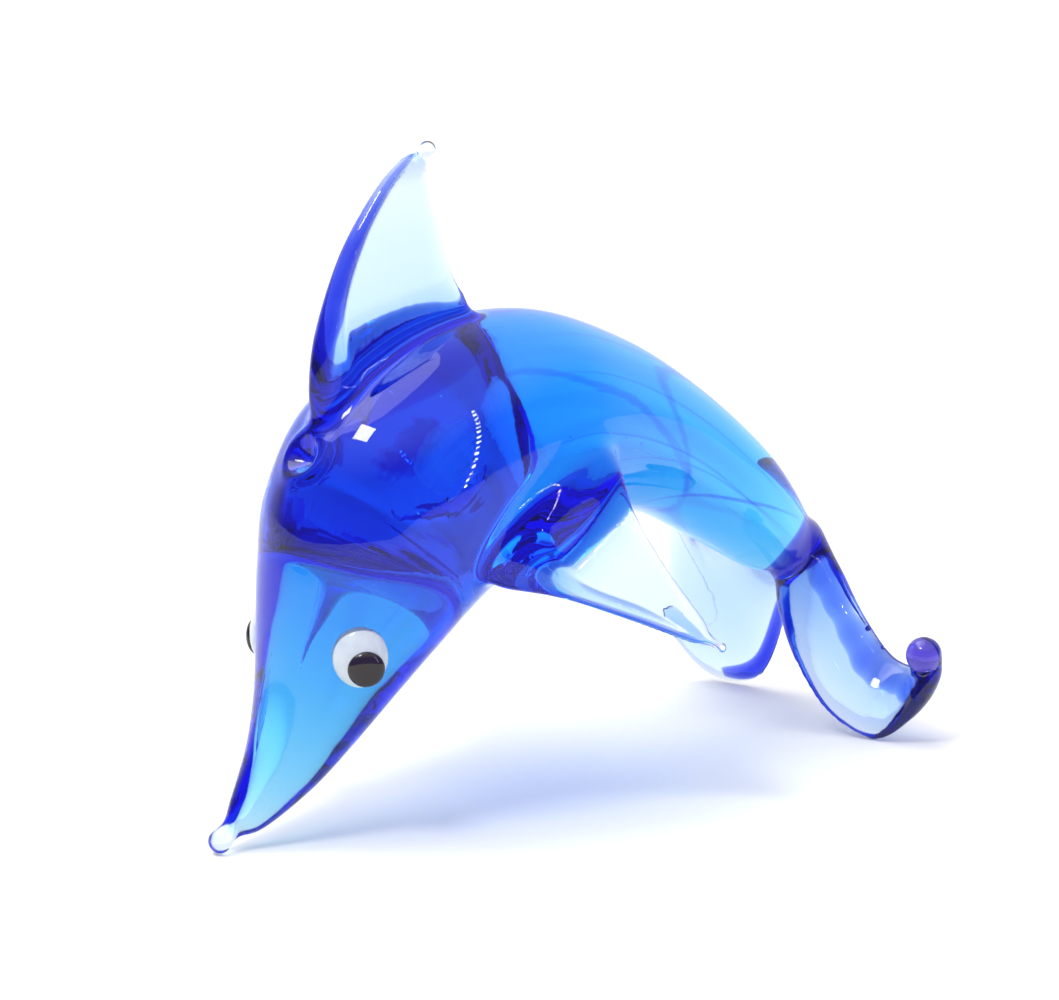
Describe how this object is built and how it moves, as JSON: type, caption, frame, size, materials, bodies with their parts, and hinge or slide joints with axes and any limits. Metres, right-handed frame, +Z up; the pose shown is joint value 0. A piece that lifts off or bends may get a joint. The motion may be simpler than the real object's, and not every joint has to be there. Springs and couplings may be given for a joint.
{
  "type": "glass dolphin figurine",
  "caption": "Lampworked blue glass dolphin figurine in a dive, resting on its beak bead and both tail flukes, with pale fins and applied eye dots.",
  "frame": {"origin": "middle of the overall box, on the surface the figurine stands on", "axes": "+Z up, the dolphin faces -Y, its left side is +X"},
  "size_m": [0.0356, 0.0633, 0.0501],
  "materials": {
    "blue_glass": "fire-polished, transparent cobalt to aqua blue",
    "pale_glass": "fire-polished, transparent pale aqua where it is thin",
    "clear_glass": "fire-polished, clear bead",
    "white_glass": "fire-polished, opaque white",
    "black_glass": "fire-polished, opaque black"
  },
  "bodies": {
    "root": {"body": "blue_glass", "tail_knot": "blue_glass", "beak_bead": "clear_glass", "dorsal_bead": "clear_glass", "pectoral_bead_left": "clear_glass", "pectoral_bead_right": "clear_glass", "dorsal_fin": "pale_glass", "pectoral_fin_left": "pale_glass", "pectoral_fin_right": "pale_glass", "fluke_left": "pale_glass", "fluke_right": "pale_glass", "eye_white_left": "white_glass", "eye_white_right": "white_glass", "pupil_left": "black_glass", "pupil_right": "black_glass"}
  },
  "joints": []
}
